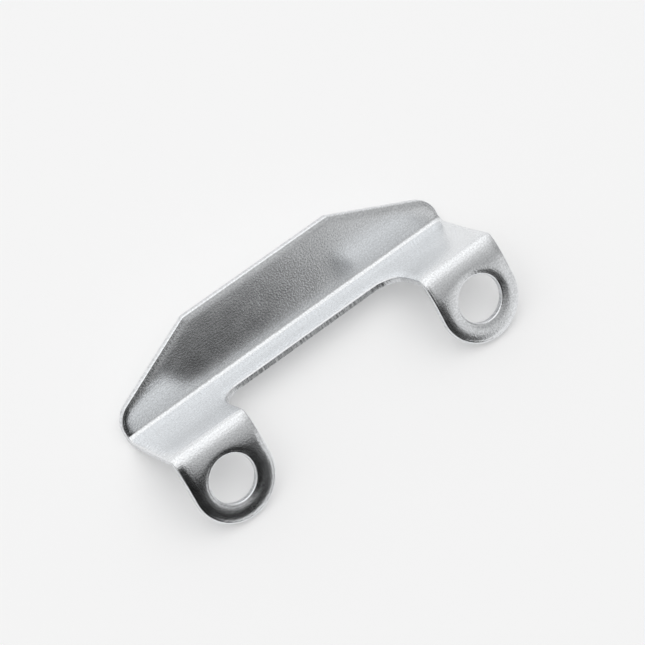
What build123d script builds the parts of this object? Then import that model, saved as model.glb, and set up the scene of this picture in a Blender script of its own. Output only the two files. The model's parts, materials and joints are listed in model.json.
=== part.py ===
from build123d import *
from math import asin, atan2, cos, hypot, sin
import os

os.makedirs("parts", exist_ok=True)

# Cable clamp: one steel strip, punched and folded twice into a Z.
# A leaf stands along one side of the web, and two ears hang from the other.
# It lies as it comes to rest, on the outside of its first fold and on the tips of both ears.
# X runs along the folds, and the leaf rises towards +Y.
# The shown side is the upper one. Heights and widths are measured on it, from the sharp corners of the folds.

# Strip
sheet = 1.0
length = 52.5
edge_roll = 0.35  # edges that the punch drew down, on the shown side only

# Folds, both square
leaf_fold_radius = 0.75  # on the shown side, which is the inside of this fold
ear_fold_radius = 2.1  # on the shown side, which is the outside of this fold

# Leaf
leaf_height = 9.8
leaf_top_length = 23.8
leaf_end_height = 3.3
leaf_end_radius = 3.2
leaf_top_radius = 1.5

# Web
web_width = 13.9

# Notch in the web, between the ears
notch_edge = 4.7  # width of the web that is left along the leaf
notch_radius = 3.4

# Ears, with the screw holes
ear_width = 11.7
ear_reach = 12.7
hole_diameter = 6.5
hole_margin = 5.75  # from the strip's end to the middle of the hole
hole_drop = 6.7

ear_radius = ear_width / 2
ear_centre = (length - ear_width) / 2
notch_length = length - 2 * ear_width
hole_place = length / 2 - hole_margin
clear = 2 * sheet  # how far the outlines that cut the strip reach past it

# The web rises at the slope that lets the first fold and the ear tips touch the ground together.
fold_outside = leaf_fold_radius + sheet
run = web_width - sheet - leaf_fold_radius
fall = ear_reach + leaf_fold_radius
slope = atan2(fall, run) - asin(fold_outside / hypot(run, fall))
up_leaf = Vector(0, sin(slope), cos(slope))
along_web = Vector(0, -cos(slope), sin(slope))

# The sharp corner of the first fold stands where the bounding box has its middle over the origin.
back = sheet * cos(slope) + leaf_height * sin(slope)
front = (web_width - edge_roll) * cos(slope) + (ear_reach - edge_roll) * sin(slope) + edge_roll
corner_height = fold_outside - leaf_fold_radius * (sin(slope) + cos(slope))
corner = Vector(0, (front - back) / 2, corner_height)

section_plane = Plane(origin=corner, x_dir=up_leaf, z_dir=(1, 0, 0))
leaf_plane = Plane(origin=corner, x_dir=(1, 0, 0), z_dir=along_web)
web_plane = Plane(origin=corner, x_dir=(1, 0, 0), z_dir=-up_leaf)
ear_plane = leaf_plane.offset(web_width)

with BuildPart() as clamp_plate:
    # Z section, in the order leaf, web, ear
    with BuildSketch(section_plane):
        with BuildLine():
            shown_side = FilletPolyline(
                (leaf_height, 0),
                (0, 0),
                (0, web_width),
                (-ear_reach, web_width),
                radius=[leaf_fold_radius, ear_fold_radius],
            )
            hidden_side = FilletPolyline(
                (leaf_height, -sheet),
                (-sheet, -sheet),
                (-sheet, web_width - sheet),
                (-ear_reach, web_width - sheet),
                radius=[leaf_fold_radius + sheet, ear_fold_radius - sheet],
            )
            Line(shown_side @ 0, hidden_side @ 0)
            Line(shown_side @ 1, hidden_side @ 1)
        make_face()
    extrude(amount=length / 2, both=True)

    # Outline of the leaf and round ends of the ears
    with BuildSketch(leaf_plane.offset(-clear)):
        with BuildLine():
            leaf_outline = FilletPolyline(
                (-length / 2, ear_radius - ear_reach),
                (-length / 2, leaf_end_height),
                (-leaf_top_length / 2, leaf_height),
                (leaf_top_length / 2, leaf_height),
                (length / 2, leaf_end_height),
                (length / 2, ear_radius - ear_reach),
                radius=[leaf_end_radius, leaf_top_radius, leaf_top_radius, leaf_end_radius],
            )
            Line(leaf_outline @ 0, leaf_outline @ 1)
        make_face()
        with Locations((-ear_centre, ear_radius - ear_reach), (ear_centre, ear_radius - ear_reach)):
            Circle(ear_radius)
    extrude(amount=web_width + 2 * clear, mode=Mode.INTERSECT)

    # Notch, from the web's narrow middle out past the ears
    with BuildSketch(web_plane.offset(-clear)):
        with BuildLine():
            notch_outline = FilletPolyline(
                (-notch_length / 2, web_width + clear),
                (-notch_length / 2, notch_edge),
                (notch_length / 2, notch_edge),
                (notch_length / 2, web_width + clear),
                radius=notch_radius,
            )
            Line(notch_outline @ 0, notch_outline @ 1)
        make_face()
    extrude(amount=ear_reach + 2 * clear, mode=Mode.SUBTRACT)

    # Screw holes
    with Locations(ear_plane):
        with Locations((-hole_place, -hole_drop), (hole_place, -hole_drop)):
            Hole(hole_diameter / 2)

    # Rolled edges: those of the shown faces, without the lines where two of these meet
    def is_shown(spot):
        local = section_plane.to_local_coords(spot)
        return shown_side.distance_to(Vector(local.X, local.Y, 0)) < sheet / 100

    shown_faces = clamp_plate.faces().filter_by(
        lambda face: all(is_shown(vertex.center()) for vertex in face.vertices())
    )
    shown_edges = [edge for face in shown_faces for edge in face.edges()]
    rolled = [edge for edge in shown_edges if sum(edge.is_same(other) for other in shown_edges) == 1]
    fillet(rolled, radius=edge_roll)

clamp_plate.part.label = "clamp_plate"
export_step(clamp_plate.part, "parts/clamp_plate.step")
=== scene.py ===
import json
import math

import bmesh
import bpy
from mathutils import Matrix, Vector
from mathutils.kdtree import KDTree


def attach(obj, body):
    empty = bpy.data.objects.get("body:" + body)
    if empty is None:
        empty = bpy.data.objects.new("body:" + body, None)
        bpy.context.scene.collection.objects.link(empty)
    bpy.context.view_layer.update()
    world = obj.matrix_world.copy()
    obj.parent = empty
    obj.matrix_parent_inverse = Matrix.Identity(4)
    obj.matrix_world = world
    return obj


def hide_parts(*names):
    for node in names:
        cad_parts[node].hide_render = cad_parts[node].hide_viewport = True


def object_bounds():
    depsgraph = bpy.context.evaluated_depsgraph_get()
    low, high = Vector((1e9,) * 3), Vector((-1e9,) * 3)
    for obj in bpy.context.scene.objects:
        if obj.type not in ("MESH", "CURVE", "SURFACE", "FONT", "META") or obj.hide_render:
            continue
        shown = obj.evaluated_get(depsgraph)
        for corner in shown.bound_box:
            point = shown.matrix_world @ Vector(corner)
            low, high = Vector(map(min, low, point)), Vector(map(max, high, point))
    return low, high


# A zinc plated steel cable clamp, lying on a pale table as it comes to rest.
# X runs along its two folds, the leaf rises towards +Y and the ears slope down towards -Y.
# The shown side is the upper one. Heights and widths are measured on it, from the sharp corners of
# the folds.

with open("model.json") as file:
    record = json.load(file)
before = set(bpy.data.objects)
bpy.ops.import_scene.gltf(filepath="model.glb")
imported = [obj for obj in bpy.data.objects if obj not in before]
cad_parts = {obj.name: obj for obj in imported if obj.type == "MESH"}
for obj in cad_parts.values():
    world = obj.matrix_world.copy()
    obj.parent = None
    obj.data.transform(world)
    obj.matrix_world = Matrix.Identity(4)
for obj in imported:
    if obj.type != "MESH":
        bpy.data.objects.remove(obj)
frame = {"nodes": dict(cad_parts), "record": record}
cad_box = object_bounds()

MM = 0.001
SQUARE = math.pi / 2

# Sizes that the frame gives

mounts = {mount["name"]: mount for mount in frame["record"]["mounts"]}
hole = mounts["screw_hole_right"]
HOLE_PLACE = Vector(hole["pos_m"])
HOLE_RADIUS = hole["dims"]["r_mm"] * MM
ALONG_WEB = Vector(mounts["seat_right"]["axis"]).normalized()  # out of the ears' shown face
UP_LEAF = ALONG_WEB.cross(Vector((1, 0, 0)))  # out of the web's shown face
LENGTH = cad_box[1].x - cad_box[0].x

# The strip

SHEET = 1.0 * MM
EDGE_ROLL = 0.35 * MM  # edges that the punch drew down, on the shown side only
BURR = 0.05 * MM  # broken corner on the hidden side

# The punch drew the shown side down towards every edge: how far at the edge, and how soon that fades
DRAWN_DOWN = 0.13 * MM
DRAWN_WIDTH = 0.46 * MM

LEAF_TOP_LENGTH = 23.8 * MM
LEAF_TOP_RADIUS = 1.5 * MM
LEAF_END_HEIGHT = 3.3 * MM
LEAF_END_RADIUS = 3.2 * MM
NOTCH_EDGE = 4.7 * MM  # width of the web that is left along the leaf
NOTCH_RADIUS = 3.4 * MM
EAR_WIDTH = 11.7 * MM
WEB_BOW = 0.12 * MM  # how far the web's middle lies under the straight line between its folds

# Folds, both square. Each starts and ends softly, and turns its last degrees slowly, in a tail. The first
# one turns its first degrees slowly too, in a head. The radii are those of the tightest stretch.
LEAF_FOLD_RADIUS = 0.7 * MM  # on the shown side, which is the inside of this fold
LEAF_FOLD_EASING = 0.25 * MM
LEAF_FOLD_HEAD_TURN = math.radians(4)
LEAF_FOLD_HEAD = 3.0 * MM  # on the leaf
LEAF_FOLD_TAIL_TURN = math.radians(5)
LEAF_FOLD_TAIL = 1.0 * MM  # on the web
EAR_FOLD_RADIUS = 0.9 * MM  # on the shown side, which is the outside of this fold
EAR_FOLD_EASING = 0.5 * MM
EAR_FOLD_TAIL_TURN = math.radians(28)
EAR_FOLD_TAIL = 5.0 * MM  # on the ears
EAR_FOLD_THINNING = 0.2  # share of the sheet that this tight fold draws out halfway through its turn

# The sharp corner of the first fold, where the shown faces of the leaf and of the web's middle meet
plate = [vertex.co for vertex in frame["nodes"]["clamp_plate"].data.vertices]
reach_along_web = [spot.dot(ALONG_WEB) for spot in plate]
reach_up_leaf = [spot.dot(UP_LEAF) for spot in plate]
corner_u = min(reach_along_web) + SHEET
WEB_WIDTH = max(reach_along_web) - corner_u
web_middle_u = corner_u + WEB_WIDTH / 2
corner_v = max(v for u, v in zip(reach_along_web, reach_up_leaf) if abs(u - web_middle_u) < WEB_WIDTH / 4)
CORNER = ALONG_WEB * corner_u + UP_LEAF * corner_v
LEAF_HEIGHT = max(reach_up_leaf) - corner_v
EAR_REACH = corner_v - min(reach_up_leaf)
HOLE_DROP = corner_v - HOLE_PLACE.dot(UP_LEAF)

# The folded section

FOLD_STEPS = 400  # even steps in which each fold is worked out


def bend(radius, easing, head_turn, head, tail_turn, tail):
    """A square fold with a slow head and tail: its length, and its turn, run and rise after each step."""
    main = (SQUARE - head_turn - tail_turn) * radius + easing
    length = head + main + tail
    step = length / FOLD_STEPS
    turn = run = rise = 0.0
    path = [(turn, run, rise)]
    for i in range(FOLD_STEPS):
        middle = (i + 0.5) * step
        within = middle - head
        if within < 0:
            turned = step * 2 * head_turn * middle / head**2
        elif within < main:
            turned = step / radius * min(1, within / easing, (main - within) / easing)
        else:
            turned = step * 2 * tail_turn * (length - middle) / tail**2
        run += step * math.cos(turn + turned / 2)
        rise += step * math.sin(turn + turned / 2)
        turn += turned
        path.append((turn, run, rise))
    return length, path


LEAF_FOLD_LENGTH, leaf_bend = bend(
    LEAF_FOLD_RADIUS,
    LEAF_FOLD_EASING,
    LEAF_FOLD_HEAD_TURN,
    LEAF_FOLD_HEAD,
    LEAF_FOLD_TAIL_TURN,
    LEAF_FOLD_TAIL,
)
EAR_FOLD_LENGTH, ear_bend = bend(
    EAR_FOLD_RADIUS, EAR_FOLD_EASING, 0, 0, EAR_FOLD_TAIL_TURN, EAR_FOLD_TAIL
)
# From each sharp corner to where its fold starts and ends
LEAF_SIDE_REACH, WEB_SIDE_REACH = leaf_bend[-1][1:]
WEB_END_REACH, EAR_SIDE_REACH = ear_bend[-1][1:]


# Places along the flat strip's shown side are measured from the leaf's end of the first fold. These give
# the place of a height on the leaf, a width on the web and a drop on the ears.


def on_leaf(height):
    return LEAF_SIDE_REACH - height


def on_web(width):
    return LEAF_FOLD_LENGTH + width - WEB_SIDE_REACH


def on_ear(drop):
    return EAR_FOLD_END + drop - EAR_SIDE_REACH


EAR_FOLD_START = on_web(WEB_WIDTH - WEB_END_REACH)
EAR_FOLD_END = EAR_FOLD_START + EAR_FOLD_LENGTH


def along_bend(path, share):
    """Turn, run and rise at this share of the bend's length."""
    place = share * FOLD_STEPS
    before = min(int(place), FOLD_STEPS - 1)
    rest = place - before
    return [a + (b - a) * rest for a, b in zip(path[before], path[before + 1])]


def folded(spot):
    """Where a point of the flat blank lies once the strip is folded. The blank's leaf points to +Y."""
    along, depth = -spot.y, -spot.z
    if along <= 0:
        u, v = -depth, LEAF_SIDE_REACH - along
    elif along < LEAF_FOLD_LENGTH:
        turn, run, rise = along_bend(leaf_bend, along / LEAF_FOLD_LENGTH)
        u, v = rise - depth * math.cos(turn), LEAF_SIDE_REACH - run - depth * math.sin(turn)
    elif along <= EAR_FOLD_START:
        over_web = along - LEAF_FOLD_LENGTH
        bow = WEB_BOW * math.sin(math.pi * over_web / (EAR_FOLD_START - LEAF_FOLD_LENGTH)) ** 2
        u, v = WEB_SIDE_REACH + over_web, -depth - bow
    elif along < EAR_FOLD_END:
        turn, run, rise = along_bend(ear_bend, (along - EAR_FOLD_START) / EAR_FOLD_LENGTH)
        depth *= 1 - EAR_FOLD_THINNING * math.sin(2 * turn)
        u, v = WEB_WIDTH - WEB_END_REACH + run - depth * math.sin(turn), -rise - depth * math.cos(turn)
    else:
        u, v = WEB_WIDTH - depth, EAR_FOLD_END - EAR_SIDE_REACH - along
    return CORNER + Vector((spot.x, 0, 0)) + ALONG_WEB * u + UP_LEAF * v


# Materials

# The plate's patterns: how far apart their marks are, and how deep
GRAIN = 0.25 * MM
GRAIN_DEPTH = 0.013 * MM
LINE_GAP = 0.3 * MM
LINE_LENGTH = 12 * MM
LINE_DEPTH = 0.003 * MM
WAVE = 5 * MM
WAVE_DEPTH = 0.02 * MM
CLOUD = 2.5 * MM

# The sheared wall's streaks
STREAK_GAP = 0.3 * MM
STREAK_DEPTH = 0.18 * MM
STREAK_STRETCH = 5  # how many times longer than wide

# Nearly all of a noise pattern lies between these values.
NOISE_LOW = 0.3
NOISE_HIGH = 0.7


def linear(hex_colour):
    """An sRGB hex colour as the linear colour that a shader takes."""
    values = [int(hex_colour[i : i + 2], 16) / 255 for i in (1, 3, 5)]
    return [v / 12.92 if v <= 0.04045 else ((v + 0.055) / 1.055) ** 2.4 for v in values] + [1.0]


def add_node(tree, kind, settings=None, stops=(), values=(), **inputs):
    """Adds a node with its settings and, for a ramp, its colour stops. Its inputs are values or output
    sockets, given in order or by socket name."""
    node = tree.nodes.new(kind)
    for name, value in (settings or {}).items():
        setattr(node, name, value)
    for i, (position, colour) in enumerate(stops):
        elements = node.color_ramp.elements
        if i == 0:
            elements.remove(elements[1])
            elements[0].position = position
            elements[0].color = linear(colour)
        else:
            elements.new(position).color = linear(colour)
    named = [(node.inputs[name.replace("_", " ")], value) for name, value in inputs.items()]
    for socket, value in [*zip(node.inputs, values), *named]:
        if isinstance(value, bpy.types.NodeSocket):
            tree.links.new(value, socket)
        else:
            socket.default_value = value
    return node


def new_material(name):
    material = bpy.data.materials.new(name)
    material.use_nodes = True
    material.node_tree.nodes.clear()
    return material, material.node_tree


def zinc_plate():
    """Bright electroplated zinc on cold rolled steel: a bluish satin metal that keeps the sheet's grain."""
    material, tree = new_material("bright_zinc_on_rolled_steel")
    place = add_node(tree, "ShaderNodeAttribute", {"attribute_name": "on_the_strip"}).outputs["Vector"]

    # Grain of the rolled sheet under the plate, coarser than the real one, so that it shows
    grain = add_node(tree, "ShaderNodeTexNoise", Vector=place, Scale=1 / GRAIN, Detail=1.0).outputs["Fac"]
    # Rolling lines along the strip's length
    stretched = add_node(tree, "ShaderNodeMapping", Vector=place, Scale=(LINE_GAP / LINE_LENGTH, 1, 1))
    lines = add_node(
        tree, "ShaderNodeTexNoise", Vector=stretched.outputs["Vector"], Scale=1 / LINE_GAP, Detail=3.0
    ).outputs["Fac"]
    # Slow waves of the sheet, and cloudiness of the plate
    waves = add_node(tree, "ShaderNodeTexNoise", Vector=place, Scale=1 / WAVE, Detail=1.0).outputs["Fac"]
    cloud = add_node(tree, "ShaderNodeTexNoise", Vector=place, Scale=1 / CLOUD, Detail=4.0).outputs["Fac"]

    colour = add_node(
        tree, "ShaderNodeValToRGB", stops=[(NOISE_LOW, "#F3F5F7"), (NOISE_HIGH, "#F8FAFC")], Fac=cloud
    ).outputs["Color"]
    for pattern, darkest in ((grain, "#EAEAEA"), (lines, "#F8F8F8")):
        shade = add_node(
            tree, "ShaderNodeValToRGB", stops=[(NOISE_LOW, darkest), (NOISE_HIGH, "#FFFFFF")], Fac=pattern
        )
        colour = add_node(
            tree,
            "ShaderNodeMix",
            {"data_type": "RGBA", "blend_type": "MULTIPLY"},
            Factor=1.0,
            A=colour,
            B=shade.outputs["Color"],
        ).outputs["Result"]
    rough = add_node(
        tree,
        "ShaderNodeMapRange",
        Value=cloud,
        From_Min=NOISE_LOW,
        From_Max=NOISE_HIGH,
        To_Min=0.18,
        To_Max=0.23,
    )
    relief = {}
    for pattern, depth in ((waves, WAVE_DEPTH), (lines, LINE_DEPTH), (grain, GRAIN_DEPTH)):
        bump = add_node(tree, "ShaderNodeBump", Height=pattern, Distance=depth, **relief)
        relief = {"Normal": bump.outputs["Normal"]}
    surface = add_node(
        tree,
        "ShaderNodeBsdfPrincipled",
        Base_Color=colour,
        Metallic=1.0,
        Roughness=rough.outputs["Result"],
        **relief,
    )
    add_node(tree, "ShaderNodeOutputMaterial", Surface=surface.outputs["BSDF"])
    return material


def sheared_edge():
    """The wall that the punch sheared, under its thin plate: bright, and streaked across its thickness."""
    material, tree = new_material("sheared_steel_edge")
    place = add_node(tree, "ShaderNodeAttribute", {"attribute_name": "on_the_strip"}).outputs["Vector"]
    stretched = add_node(tree, "ShaderNodeMapping", Vector=place, Scale=(1, 1, 1 / STREAK_STRETCH))
    streaks = add_node(
        tree, "ShaderNodeTexNoise", Vector=stretched.outputs["Vector"], Scale=1 / STREAK_GAP, Detail=3.0
    ).outputs["Fac"]
    colour = add_node(
        tree, "ShaderNodeValToRGB", stops=[(NOISE_LOW, "#CED0D2"), (NOISE_HIGH, "#F2F3F5")], Fac=streaks
    )
    bump = add_node(tree, "ShaderNodeBump", Height=streaks, Distance=STREAK_DEPTH)
    surface = add_node(
        tree,
        "ShaderNodeBsdfPrincipled",
        Base_Color=colour.outputs["Color"],
        Metallic=1.0,
        Roughness=0.28,
        Normal=bump.outputs["Normal"],
    )
    add_node(tree, "ShaderNodeOutputMaterial", Surface=surface.outputs["BSDF"])
    return material


# The clamp, cut and finished as a flat blank, and then folded

NEAR = 0.01 * MM  # points nearer than this to a place or height are at it
MERGED = 0.005 * MM  # points nearer than this become one
ON_THE_CUT = 0.001 * MM  # points nearer to a cut than this lie on it
RIM_SAMPLES = 0.05 * MM  # from one point of the outline to the next, where the rim is drawn down
LEVEL = 0.999  # a level face's normal points up at least this much
SMOOTH_UNDER = math.radians(35)  # edges that turn more than this stay sharp

PUNCH_DEPTH = 4 * SHEET
HOLE_STEPS = 72
LEAF_END_STEPS = 12
LEAF_TOP_STEPS = 5
NOTCH_STEPS = 14
EAR_STEPS = 20
EDGE_ROLL_STEPS = 6
BURR_STEPS = 2
LEAF_FOLD_CUTS = 44
EAR_FOLD_CUTS = 44
RIM_STEPS = (0.12 * MM, 0.16 * MM, 0.22 * MM, 0.35 * MM)  # of the loops that carry the rim's soft shape
GRID = 1.0 * MM  # coarse enough to be light, and fine enough for the shown side's soft shape

PLATE_SLOT = 0
WALL_SLOT = 1

leaf_top = -on_leaf(LEAF_HEIGHT)
leaf_end = -on_leaf(LEAF_END_HEIGHT)
notch_bottom = -on_web(NOTCH_EDGE)
notch_side = LENGTH / 2 - EAR_WIDTH
ear_tip = -on_ear(EAR_REACH)
hole_y = -on_ear(HOLE_DROP)


def select_only(blank, kind, wanted):
    """Edit mode: selects the vertices, edges or faces for which wanted is true, and nothing else."""
    bpy.ops.mesh.select_mode(type={"verts": "VERT", "edges": "EDGE", "faces": "FACE"}[kind])
    bpy.ops.mesh.select_all(action="DESELECT")
    shape = bmesh.from_edit_mesh(blank.data)
    for element in getattr(shape, kind):
        if wanted(element):
            element.select = True
    shape.select_flush_mode()
    bmesh.update_edit_mesh(blank.data)


def make_active(blank):
    bpy.ops.object.select_all(action="DESELECT")
    blank.select_set(True)
    bpy.context.view_layer.objects.active = blank


def apply_modifier(blank, kind, **settings):
    modifier = blank.modifiers.new(kind.lower(), kind)
    for name, value in settings.items():
        setattr(modifier, name, value)
    make_active(blank)
    bpy.ops.object.modifier_apply(modifier=modifier.name)


def cut_across(place, way, drop_beyond=False):
    """Cuts the whole blank along an upright plane, and may drop what lies beyond it."""
    bpy.ops.mesh.select_all(action="SELECT")
    bpy.ops.mesh.bisect(
        plane_co=place,
        plane_no=Vector(way).normalized(),
        clear_outer=drop_beyond,
        use_fill=False,
        threshold=ON_THE_CUT,
    )


def round_corner(blank, x, y, radius, turn, steps):
    """Rounds the outline's corner at this place. Turn is how far the outline turns there."""
    corner = Vector((x, y, 0))
    select_only(blank, "verts", lambda vertex: (vertex.co - corner).length < NEAR)
    bpy.ops.mesh.bevel(
        affect="VERTICES",
        offset=radius * math.tan(turn / 2),
        segments=steps,
        profile=0.5,
        clamp_overlap=False,
    )
    bpy.ops.mesh.select_all(action="SELECT")
    bpy.ops.mesh.remove_doubles(threshold=MERGED)


def in_notch(face):
    middle = face.calc_center_median()
    return abs(middle.x) < notch_side and middle.y < notch_bottom


def cut_blank():
    """The flat strip's outline as one face, with its shown side up."""
    bpy.ops.object.select_all(action="DESELECT")
    bpy.ops.mesh.primitive_plane_add(size=1, location=(0, (leaf_top + ear_tip) / 2, 0))
    blank = bpy.context.object
    blank.name = "zinc_plated_clamp"
    blank.scale = (LENGTH, leaf_top - ear_tip, 1)
    bpy.ops.object.transform_apply(location=True, rotation=False, scale=True)
    bpy.ops.object.mode_set(mode="EDIT")
    chamfer_run = (LENGTH - LEAF_TOP_LENGTH) / 2
    chamfer_drop = leaf_top - leaf_end
    for side in (-1, 1):
        chamfer_way = (side * chamfer_drop, chamfer_run, 0)
        cut_across((side * LEAF_TOP_LENGTH / 2, leaf_top, 0), chamfer_way, drop_beyond=True)
        cut_across((side * notch_side, 0, 0), (1, 0, 0))
    cut_across((0, notch_bottom, 0), (0, 1, 0))
    select_only(blank, "faces", in_notch)
    bpy.ops.mesh.delete(type="FACE")
    # Leaves one face, with corners only where the outline turns
    bpy.ops.mesh.select_all(action="SELECT")
    bpy.ops.mesh.dissolve_limited(angle_limit=math.radians(1))

    chamfer_turn = math.atan2(chamfer_drop, chamfer_run)
    for side in (-1, 1):
        end = side * LENGTH / 2
        inner = side * notch_side
        round_corner(blank, end, leaf_end, LEAF_END_RADIUS, SQUARE - chamfer_turn, LEAF_END_STEPS)
        round_corner(
            blank, side * LEAF_TOP_LENGTH / 2, leaf_top, LEAF_TOP_RADIUS, chamfer_turn, LEAF_TOP_STEPS
        )
        round_corner(blank, inner, notch_bottom, NOTCH_RADIUS, SQUARE, NOTCH_STEPS)
        round_corner(blank, inner, ear_tip, EAR_WIDTH / 2, SQUARE, EAR_STEPS)
        round_corner(blank, end, ear_tip, EAR_WIDTH / 2, SQUARE, EAR_STEPS)
    bpy.ops.object.mode_set(mode="OBJECT")
    return blank


def punch_holes(blank):
    for side in (-1, 1):
        bpy.ops.object.select_all(action="DESELECT")
        bpy.ops.mesh.primitive_cylinder_add(
            vertices=HOLE_STEPS,
            radius=HOLE_RADIUS,
            depth=PUNCH_DEPTH,
            location=(side * HOLE_PLACE.x, hole_y, 0),
        )
        punch = bpy.context.object
        apply_modifier(blank, "BOOLEAN", operation="DIFFERENCE", solver="EXACT", object=punch)
        bpy.data.objects.remove(punch)


def is_wall(face):
    """A face that stands upright on the flat blank, more than it lies level."""
    return abs(face.normal.z) < 0.5


def is_rim(edge, height):
    """An edge of the outline or of a hole, at this height of the flat blank."""
    level = all(abs(vertex.co.z - height) < NEAR for vertex in edge.verts)
    return level and len({is_wall(face) for face in edge.link_faces}) == 2


def finish_edges(blank):
    """The rolled corner of the shown side and the broken corner of the hidden one."""
    bpy.ops.object.mode_set(mode="EDIT")
    select_only(blank, "faces", is_wall)
    blank.active_material_index = WALL_SLOT
    bpy.ops.object.material_slot_assign()
    for height, width, steps in ((0, EDGE_ROLL, EDGE_ROLL_STEPS), (-SHEET, BURR, BURR_STEPS)):
        select_only(blank, "edges", lambda edge: is_rim(edge, height))
        bpy.ops.mesh.bevel(
            affect="EDGES",
            offset=width,
            segments=steps,
            profile=0.5,
            clamp_overlap=False,
            loop_slide=False,
            material=PLATE_SLOT,
        )
    bpy.ops.object.mode_set(mode="OBJECT")


def divide_faces(blank):
    """Loops inside every edge of the shown side, fine cuts across the folds and a grid over the rest."""
    bpy.ops.object.mode_set(mode="EDIT")
    select_only(blank, "faces", lambda face: face.normal.z > LEVEL)
    for width in RIM_STEPS:
        bpy.ops.mesh.inset(thickness=width, use_even_offset=True, use_boundary=True)
    for start, end, cuts in (
        (0, LEAF_FOLD_LENGTH, LEAF_FOLD_CUTS),
        (EAR_FOLD_START, EAR_FOLD_END, EAR_FOLD_CUTS),
    ):
        for i in range(cuts + 1):
            cut_across((0, -start - (end - start) * i / cuts, 0), (0, 1, 0))
    for i in range(1, round(LENGTH / GRID)):
        cut_across((i * GRID - LENGTH / 2, 0, 0), (1, 0, 0))
    for i in range(1, round((leaf_top - ear_tip) / GRID)):
        along = i * GRID - leaf_top
        if along < 0 or LEAF_FOLD_LENGTH < along < EAR_FOLD_START or along > EAR_FOLD_END:
            cut_across((0, -along, 0), (0, 1, 0))
    bpy.ops.object.mode_set(mode="OBJECT")


def draw_down_rim(blank):
    """Lowers the shown side softly towards every edge, as the punch left it."""
    shape = blank.data
    outline = []
    for edge in shape.edges:
        ends = [shape.vertices[i].co for i in edge.vertices]
        if all(abs(end.z + EDGE_ROLL) < NEAR for end in ends):
            samples = max(1, round((ends[1] - ends[0]).length / RIM_SAMPLES))
            outline += [ends[0].lerp(ends[1], i / samples) for i in range(samples + 1)]
    tree = KDTree(len(outline))
    for i, spot in enumerate(outline):
        tree.insert((spot.x, spot.y, 0), i)
    tree.balance()
    for vertex in shape.vertices:
        height = vertex.co.z
        if height <= -EDGE_ROLL + NEAR:
            continue
        inwards = tree.find((vertex.co.x, vertex.co.y, 0))[2]
        if inwards < EDGE_ROLL:
            vertex.co.z -= DRAWN_DOWN * (height + EDGE_ROLL) / EDGE_ROLL
        else:
            vertex.co.z -= DRAWN_DOWN * math.exp((EDGE_ROLL - inwards) / DRAWN_WIDTH)


def fold(blank):
    """Folds the flat blank, and keeps where each point lay on it. The finish follows the flat strip: along
    its folds, along its section, and into its thickness."""
    place = blank.data.attributes.new("on_the_strip", "FLOAT_VECTOR", "POINT")
    for vertex in blank.data.vertices:
        place.data[vertex.index].vector = vertex.co
        vertex.co = folded(vertex.co)
    blank.data.update()


def make_clamp():
    blank = cut_blank()
    blank.data.materials.append(zinc_plate())
    blank.data.materials.append(sheared_edge())
    apply_modifier(blank, "SOLIDIFY", thickness=SHEET, offset=-1)
    punch_holes(blank)
    finish_edges(blank)
    divide_faces(blank)
    draw_down_rim(blank)
    fold(blank)
    make_active(blank)
    bpy.ops.object.shade_smooth_by_angle(angle=SMOOTH_UNDER)
    apply_modifier(blank, "WEIGHTED_NORMAL", keep_sharp=True)
    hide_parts("clamp_plate")
    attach(blank, "root")


make_clamp()

# Table, lamp and surroundings, in metres

TABLE_RADIUS = 4.0
TABLE_STEPS = 96
PALE_SHARE = 0.27  # how much of the table is evenly pale where it is seen straight or in the metal

LAMP_PLACE = Vector((0.018, 0.103, 0.591))  # nearly overhead, a little behind the clamp
LAMP_SIZE = 1.0
LAMP_RADIANCE = 0.42

# Painted greys that the card glows with in front of the clamp, as painted light and shade for the metal's
# reflections, at shares of its width from its -X end and of its height. Over the shares that the fades
# give, the one way of shading passes into the other.
CARD_PLACE = Vector((0.01, -0.15, 0.14))
CARD_SIZE = 0.30
CARD_ACROSS = [
    (0.0, "#101010"),
    (0.51, "#161616"),
    (0.565, "#3A3A3A"),
    (0.62, "#424242"),
    (0.66, "#5A5A5A"),
    (0.682, "#DCDCDC"),
    (1.0, "#EAEAEA"),
]
CARD_UPWARDS = [(0.36, "#ACACAC"), (0.54, "#C4C4C4"), (0.78, "#D2D2D2"), (1.0, "#F0F0F0")]
CARD_FADE_ACROSS = (0.46, 0.515)
CARD_FADE_UPWARDS = (0.23, 0.35)

# The room's radiance: even all round, more from behind the clamp than from in front, and most from above,
# where it levels off so that the metal doesn't burn out
ROOM_LEVEL = 0.54
ROOM_BACK = 0.42
ROOM_TOP = 0.92
ROOM_TOP_POWER = 4.0  # how closely the light from above keeps to the zenith
ROOM_MOST = 1.14


def make_table():
    bpy.ops.object.select_all(action="DESELECT")
    bpy.ops.mesh.primitive_circle_add(
        vertices=TABLE_STEPS, radius=TABLE_RADIUS, fill_type="NGON", location=(0, 0, 0)
    )
    table = bpy.context.object
    table.name = "table"
    material, tree = new_material("pale_matt_card")
    card = add_node(
        tree,
        "ShaderNodeBsdfPrincipled",
        Base_Color=linear("#F4F4F4"),
        Roughness=0.9,
        Specular_IOR_Level=0.0,
    )
    # Seen straight or in the metal, part of the card is evenly pale, which keeps the shadows light.
    pale = add_node(tree, "ShaderNodeEmission", Color=linear("#F5F5F5"), Strength=1.0)
    ray = add_node(tree, "ShaderNodeLightPath").outputs
    seeing = (ray["Is Camera Ray"], ray["Is Glossy Ray"])
    seen = add_node(tree, "ShaderNodeMath", {"operation": "MAXIMUM"}, values=seeing)
    share = add_node(
        tree, "ShaderNodeMath", {"operation": "MULTIPLY"}, values=(seen.outputs["Value"], PALE_SHARE)
    )
    surface = add_node(
        tree,
        "ShaderNodeMixShader",
        values=(share.outputs["Value"], card.outputs["BSDF"], pale.outputs["Emission"]),
    )
    add_node(tree, "ShaderNodeOutputMaterial", Surface=surface.outputs["Shader"])
    table.data.materials.append(material)


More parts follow.
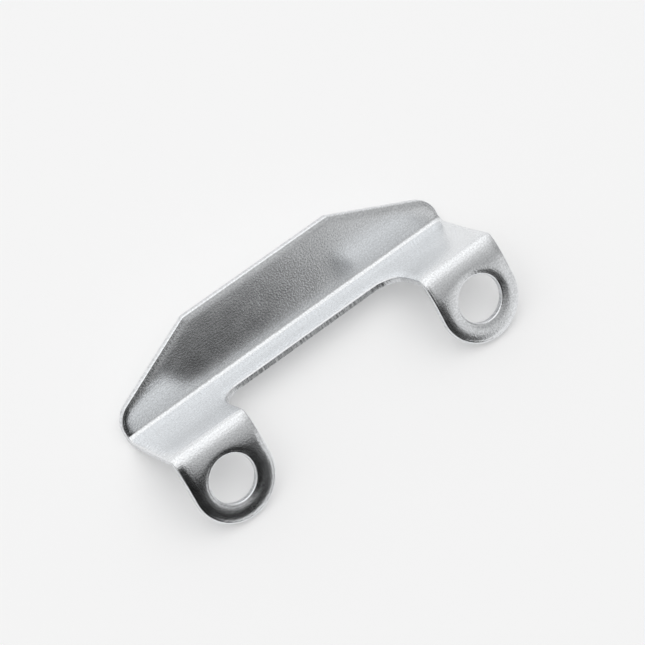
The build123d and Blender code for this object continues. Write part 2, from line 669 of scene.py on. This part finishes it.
def make_soft_box():
    """A square lamp that faces the clamp, as bright as a card of its radiance, and that no metal shows."""
    lamp = bpy.data.lights.new("overhead_soft_box", "AREA")
    lamp.shape = "SQUARE"
    lamp.size = LAMP_SIZE
    lamp.energy = LAMP_RADIANCE * math.pi * LAMP_SIZE**2
    soft_box = bpy.data.objects.new("overhead_soft_box", lamp)
    bpy.context.scene.collection.objects.link(soft_box)
    soft_box.location = LAMP_PLACE
    soft_box.rotation_euler = (-LAMP_PLACE).to_track_quat("-Z", "Y").to_euler()
    soft_box.visible_camera = False
    soft_box.visible_glossy = False


def make_glowing_reflection_card():
    """An upright card that glows, though it is no lamp, and that only the metal reflects. Its glow is
    painted light and shade for the metal's reflections. It is graded across its width, but its upper part
    towards +X is graded up its height."""
    bpy.ops.object.select_all(action="DESELECT")
    bpy.ops.mesh.primitive_plane_add(size=1, location=(0, 0, 0))
    card = bpy.context.object
    card.name = "graded_card"
    card.scale = (CARD_SIZE, CARD_SIZE, 1)
    card.rotation_euler = (SQUARE, 0, math.atan2(CARD_PLACE.x, -CARD_PLACE.y))
    card.location = CARD_PLACE
    material, tree = new_material("graded_grey_card")
    place = add_node(tree, "ShaderNodeTexCoord").outputs["Object"]
    parts = add_node(tree, "ShaderNodeSeparateXYZ", Vector=place).outputs
    # Shares of the card's width and height, from its -X end and its foot
    across, upwards = [
        add_node(tree, "ShaderNodeMath", {"operation": "ADD"}, values=(part, 0.5)).outputs["Value"]
        for part in (parts["X"], parts["Y"])
    ]
    low = add_node(tree, "ShaderNodeValToRGB", stops=CARD_ACROSS, Fac=across)
    high = add_node(tree, "ShaderNodeValToRGB", stops=CARD_UPWARDS, Fac=upwards)
    fades = [
        add_node(tree, "ShaderNodeMapRange", Value=share, From_Min=start, From_Max=end).outputs["Result"]
        for share, (start, end) in ((across, CARD_FADE_ACROSS), (upwards, CARD_FADE_UPWARDS))
    ]
    upper_part = add_node(tree, "ShaderNodeMath", {"operation": "MULTIPLY"}, values=fades)
    shade = add_node(
        tree,
        "ShaderNodeMix",
        {"data_type": "RGBA"},
        Factor=upper_part.outputs["Value"],
        A=low.outputs["Color"],
        B=high.outputs["Color"],
    )
    # The card glows with these painted greys, which the metal shows as painted reflections of light and
    # shade.
    glow = add_node(tree, "ShaderNodeEmission", Color=shade.outputs["Result"], Strength=1.0)
    add_node(tree, "ShaderNodeOutputMaterial", Surface=glow.outputs["Emission"])
    card.data.materials.append(material)
    card.visible_camera = False
    card.visible_diffuse = False
    card.visible_shadow = False


def make_room():
    world = bpy.data.worlds.new("plain_room")
    world.use_nodes = True
    tree = world.node_tree
    tree.nodes.clear()
    way = add_node(tree, "ShaderNodeTexCoord").outputs["Generated"]
    parts = add_node(tree, "ShaderNodeSeparateXYZ", Vector=way).outputs
    from_behind = add_node(
        tree, "ShaderNodeMath", {"operation": "MULTIPLY_ADD"}, values=(parts["Y"], ROOM_BACK, ROOM_LEVEL)
    )
    upwards = add_node(
        tree,
        "ShaderNodeMath",
        {"operation": "POWER", "use_clamp": True},
        values=(parts["Z"], ROOM_TOP_POWER),
    )
    level = add_node(
        tree,
        "ShaderNodeMath",
        {"operation": "MULTIPLY_ADD"},
        values=(upwards.outputs["Value"], ROOM_TOP, from_behind.outputs["Value"]),
    )
    capped = add_node(
        tree, "ShaderNodeMath", {"operation": "MINIMUM"}, values=(level.outputs["Value"], ROOM_MOST)
    ).outputs["Value"]
    light = add_node(tree, "ShaderNodeBackground", Color=linear("#FFFFFF"), Strength=capped)
    add_node(tree, "ShaderNodeOutputWorld", Surface=light.outputs["Background"])
    bpy.context.scene.world = world


make_table()
make_soft_box()
make_glowing_reflection_card()
make_room()

# Camera, at the photograph's viewing angle

CAMERA_PLACE = Vector((-110.4, -147.0, 331.6)) * MM
CAMERA_AIM = Vector((2.78, 1.88, 4.0)) * MM
CAMERA_ROLL = math.radians(-2.19)
CAMERA_LENS = 161.7  # in millimetres, as the sensor's width is
CAMERA_SENSOR = 36.0
CAMERA_NEAREST = 10 * MM


def make_camera():
    camera = bpy.data.objects.new("camera", bpy.data.cameras.new("camera"))
    bpy.context.scene.collection.objects.link(camera)
    camera.data.lens = CAMERA_LENS
    camera.data.sensor_width = CAMERA_SENSOR
    camera.data.clip_start = CAMERA_NEAREST
    look = (CAMERA_AIM - CAMERA_PLACE).to_track_quat("-Z", "Y").to_matrix()
    roll = Matrix.Rotation(CAMERA_ROLL, 3, "Z")
    camera.rotation_euler = (look @ roll).to_euler()
    camera.location = CAMERA_PLACE
    bpy.context.scene.camera = camera


make_camera()
bpy.context.scene.view_settings.view_transform = "Standard"
